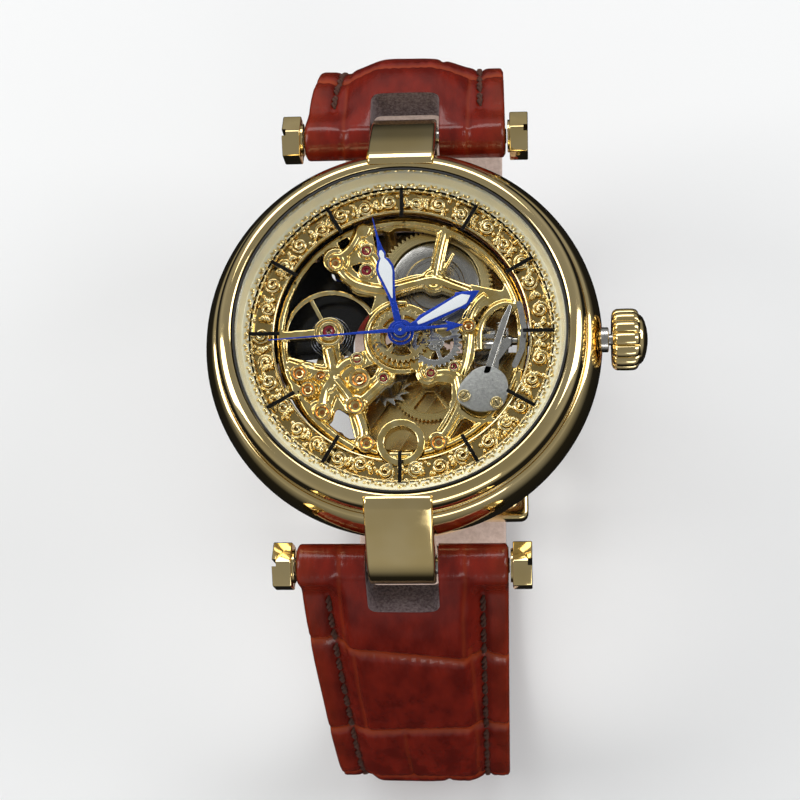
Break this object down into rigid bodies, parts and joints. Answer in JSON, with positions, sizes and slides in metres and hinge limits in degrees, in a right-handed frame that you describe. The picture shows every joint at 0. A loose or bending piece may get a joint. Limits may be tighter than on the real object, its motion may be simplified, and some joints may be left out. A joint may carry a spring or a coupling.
{
  "type": "skeleton wristwatch",
  "caption": "Round gold-tone wristwatch with an open-worked hand-wound movement under glass, blued hands, central lugs and a brown embossed leather strap with a pin buckle.",
  "frame": {"origin": "centre of the flat back glass, on the back of the case", "axes": "+Z out of the dial, +Y towards 12 o'clock along the strap, +X towards the crown at 3 o'clock"},
  "size_m": [0.0422, 0.0747, 0.0599],
  "materials": {
    "case_gold": "polished pale yellow gold plating",
    "pale_gold": "satin pale gold",
    "movement_gold": "rich gold plating, polished edges",
    "wheel_brass": "circular brushed brass",
    "steel": "brushed and sandblasted steel",
    "blued_steel": "royal blue, glossy",
    "gasket_rubber": "matte black",
    "black_spacer": "dark moulded plastic",
    "ruby": "polished synthetic ruby",
    "watch_glass": "clear mineral glass",
    "strap_leather": "glossy red-brown leather embossed with large scales",
    "strap_lining": "plain pinkish beige lining",
    "stitch_thread": "dark brown waxed thread",
    "baton_black": "black lacquer",
    "lume_white": "white luminous paint"
  },
  "bodies": {
    "case": {"case_band": "case_gold", "bezel": "case_gold", "crystal": "watch_glass", "crystal_gasket": "gasket_rubber", "crown_tube": "steel", "case_back": "case_gold", "back_crystal": "watch_glass", "case_back_gasket": "gasket_rubber", "upper_lug": "case_gold", "lower_lug": "case_gold", "upper_bar": "steel", "lower_bar": "steel", "upper_left_bolt": "case_gold", "upper_right_bolt": "case_gold", "lower_left_bolt": "case_gold", "lower_right_bolt": "case_gold", "hour_marker_ring": "pale_gold", "engraved_ring": "movement_gold", "movement_ring": "black_spacer", "main_plate": "movement_gold", "setting_bridge": "steel", "clutch_lever": "steel", "balance_jewel": "ruby", "third_wheel_jewel": "ruby", "barrel_bridge": "movement_gold", "train_bridge": "movement_gold", "balance_cock": "movement_gold", "pallet_cock": "movement_gold"},
    "barrel": {"barrel_drum": "wheel_brass", "barrel_cover": "steel", "mainspring": "steel"},
    "ratchet": {"ratchet_wheel": "steel"},
    "crown_wheel": {"crown_wheel": "steel"},
    "click": {"click": "steel"},
    "centre": {"centre_wheel": "wheel_brass", "cannon_pinion": "steel", "minute_hand": "blued_steel"},
    "minute_wheel": {"minute_wheel": "steel"},
    "hour": {"hour_wheel": "wheel_brass", "hour_hand": "blued_steel"},
    "third": {"third_wheel": "wheel_brass"},
    "seconds": {"fourth_wheel": "wheel_brass", "seconds_hand": "blued_steel"},
    "escape": {"escape_wheel": "steel"},
    "pallet": {"pallet_fork": "steel"},
    "balance": {"balance_wheel": "wheel_brass", "hairspring": "steel"},
    "setting_lever": {"setting_lever": "steel"},
    "stem_slide": {"crown_gasket": "gasket_rubber"},
    "crown": {"crown": "case_gold", "winding_stem": "steel", "sliding_pinion": "steel", "winding_pinion": "steel"},
    "upper_strap": {"upper_strap": "strap_leather", "fixed_keeper": "strap_leather", "buckle_bar": "steel"},
    "free_keeper": {"free_keeper": "strap_leather"},
    "buckle_frame": {"buckle_frame": "case_gold"},
    "buckle_tongue": {"buckle_tongue": "case_gold"},
    "lower_strap": {"lower_strap": "strap_leather"}
  },
  "joints": [
    {"name": "seconds_spin", "type": "hinge", "parent": "case", "child": "seconds", "pos_m": [0, 0, 0.003], "axis": [0, 0, -1], "continuous": true},
    {"name": "third_spin", "type": "hinge", "parent": "case", "child": "third", "pos_m": [0.00245, -0.00349, 0.0033], "axis": [0, 0, -1], "continuous": true},
    {"name": "centre_spin", "type": "hinge", "parent": "case", "child": "centre", "pos_m": [0, 0, 0.0036], "axis": [0, 0, -1], "continuous": true},
    {"name": "barrel_spin", "type": "hinge", "parent": "case", "child": "barrel", "pos_m": [0.003, 0.0056, 0.0055], "axis": [0, 0, -1], "continuous": true},
    {"name": "minute_wheel_spin", "type": "hinge", "parent": "case", "child": "minute_wheel", "pos_m": [0.00315, -0.00059, 0.0075], "axis": [0, 0, -1], "continuous": true},
    {"name": "hour_spin", "type": "hinge", "parent": "case", "child": "hour", "pos_m": [0, 0, 0.0078], "axis": [0, 0, -1], "continuous": true},
    {"name": "escape_spin", "type": "hinge", "parent": "case", "child": "escape", "pos_m": [-0.0016, -0.0037, 0.004], "axis": [0, 0, -1], "continuous": true},
    {"name": "pallet_rock", "type": "hinge", "parent": "case", "child": "pallet", "pos_m": [-0.00363, -0.00207, 0.004], "axis": [0, 0, 1], "range_deg": [-5, 5]},
    {"name": "balance_swing", "type": "hinge", "parent": "case", "child": "balance", "pos_m": [-0.00693, 0.00058, 0.0051], "axis": [0, 0, 1], "range_deg": [-150, 150]},
    {"name": "crown_pull", "type": "slide", "parent": "case", "child": "stem_slide", "axis": [1, 0, 0], "range_m": [0, 0.0012]},
    {"name": "crown_spin", "type": "hinge", "parent": "stem_slide", "child": "crown", "pos_m": [0.02, 0, 0.00534], "axis": [1, 0, 0], "continuous": true},
    {"name": "crown_wheel_spin", "type": "hinge", "parent": "case", "child": "crown_wheel", "pos_m": [0.0076, 0, 0.0015], "axis": [0, 0, 1], "continuous": true},
    {"name": "ratchet_spin", "type": "hinge", "parent": "case", "child": "ratchet", "pos_m": [0.003, 0.0056, 0.0015], "axis": [0, 0, 1], "continuous": true},
    {"name": "click_lift", "type": "hinge", "parent": "case", "child": "click", "pos_m": [-0.00275, 0.0089, 0.0015], "axis": [0, 0, -1], "range_deg": [0, 12], "stiffness_Nm_per_rad": 0.0002},
    {"name": "setting_lever_turn", "type": "hinge", "parent": "case", "child": "setting_lever", "pos_m": [0.0086, -0.0039, 0.00745], "axis": [0, 0, -1], "range_deg": [0, 21]},
    {"name": "lower_strap_swing", "type": "hinge", "parent": "case", "child": "lower_strap", "pos_m": [0, -0.02127, 0.00412], "axis": [-1, 0, 0], "range_deg": [0, 95]},
    {"name": "upper_strap_swing", "type": "hinge", "parent": "case", "child": "upper_strap", "pos_m": [0, 0.02127, 0.00412], "axis": [1, 0, 0], "range_deg": [0, 15]},
    {"name": "free_keeper_slide", "type": "slide", "parent": "upper_strap", "child": "free_keeper", "axis": [0, -0.9737, -0.2278], "range_m": [0, 0.0025]},
    {"name": "buckle_frame_swing", "type": "hinge", "parent": "upper_strap", "child": "buckle_frame", "pos_m": [0, -0.00015, -0.0389], "axis": [1, 0, 0], "range_deg": [-60, 25]},
    {"name": "buckle_tongue_swing", "type": "hinge", "parent": "buckle_frame", "child": "buckle_tongue", "pos_m": [0, -0.00015, -0.0389], "axis": [1, 0, 0], "range_deg": [0, 30]}
  ],
  "couplings": [
    {"joint": "third_spin", "follows": "seconds_spin", "ratio": -0.13333},
    {"joint": "centre_spin", "follows": "seconds_spin", "ratio": 0.016667},
    {"joint": "barrel_spin", "follows": "seconds_spin", "ratio": -0.0027778},
    {"joint": "minute_wheel_spin", "follows": "seconds_spin", "ratio": -0.0055556},
    {"joint": "hour_spin", "follows": "seconds_spin", "ratio": 0.0013889},
    {"joint": "escape_spin", "follows": "seconds_spin", "ratio": -10},
    {"joint": "crown_wheel_spin", "follows": "crown_spin", "ratio": 0.54545},
    {"joint": "ratchet_spin", "follows": "crown_spin", "ratio": -0.25},
    {"joint": "setting_lever_turn", "follows": "crown_pull", "rad_per_m": 300},
    {"joint": "upper_strap_swing", "follows": "lower_strap_swing", "ratio": 0.15}
  ]
}
